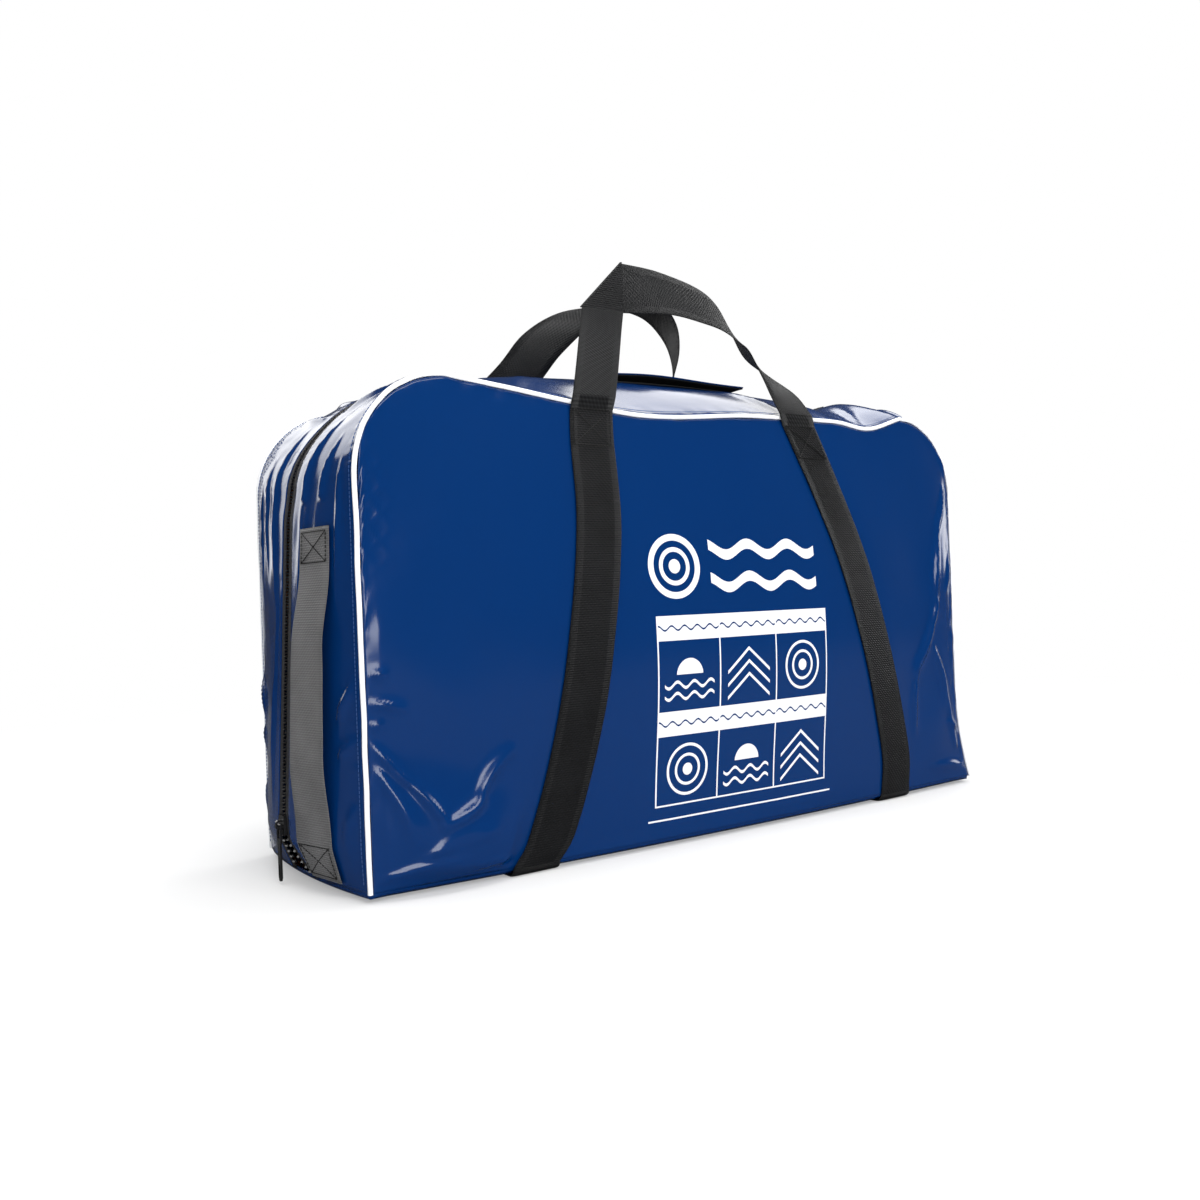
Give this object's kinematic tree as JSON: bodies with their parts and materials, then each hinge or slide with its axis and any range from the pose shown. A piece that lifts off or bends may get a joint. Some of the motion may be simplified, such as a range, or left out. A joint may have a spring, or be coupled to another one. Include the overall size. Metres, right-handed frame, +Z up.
{
  "type": "liferaft valise",
  "caption": "Boxy zipped valise of glossy coated cloth that holds a packed liferaft, with piped edges, wrap-round webbing straps that form two carrying handles, and webbing end handles.",
  "frame": {"origin": "middle of the whole part's plan, on the surface that the bag stands on", "axes": "+X along the bag from the zip's slider end, +Y from the printed front panel to the rear, +Z up"},
  "size_m": [0.8524, 0.3006, 0.5925],
  "materials": {
    "blue_cloth": "glossy coated cloth",
    "white_piping": "satin",
    "zip_tape": "woven",
    "zip_teeth": "moulded",
    "zip_metal": "black enamel",
    "black_webbing": "ribbed weave",
    "raft_pack": "folded coated cloth"
  },
  "bodies": {
    "valise": {"front_panel": "blue_cloth", "rear_panel": "blue_cloth", "base_panel": "blue_cloth", "front_gusset": "blue_cloth", "rear_gusset": "blue_cloth", "front_piping": "white_piping", "rear_piping": "white_piping", "zip_front_tape": "zip_tape", "zip_rear_tape": "zip_tape", "zip_front_teeth": "zip_teeth", "zip_rear_teeth": "zip_teeth", "zip_bottom_stop": "zip_teeth", "front_webbing": "black_webbing", "rear_webbing": "black_webbing", "left_end_handle": "black_webbing", "right_end_handle": "black_webbing", "painter_flap": "blue_cloth", "flap_hook_strip": "zip_tape", "flap_loop_strip": "zip_tape", "packed_raft": "raft_pack"},
    "slider": {"zip_slider": "zip_metal"},
    "pull": {"zip_pull": "zip_metal"}
  },
  "joints": [
    {"name": "slider_slide", "type": "slide", "parent": "valise", "child": "slider", "axis": [0.0542, 0, 0.9985], "range_m": [0, 0.25], "deforming": ["zip_front_teeth", "zip_rear_teeth"]},
    {"name": "pull_hinge", "type": "hinge", "parent": "slider", "child": "pull", "pos_m": [-0.41924, 0, 0.05322], "axis": [0, 1, 0], "range_deg": [0, 150]}
  ]
}
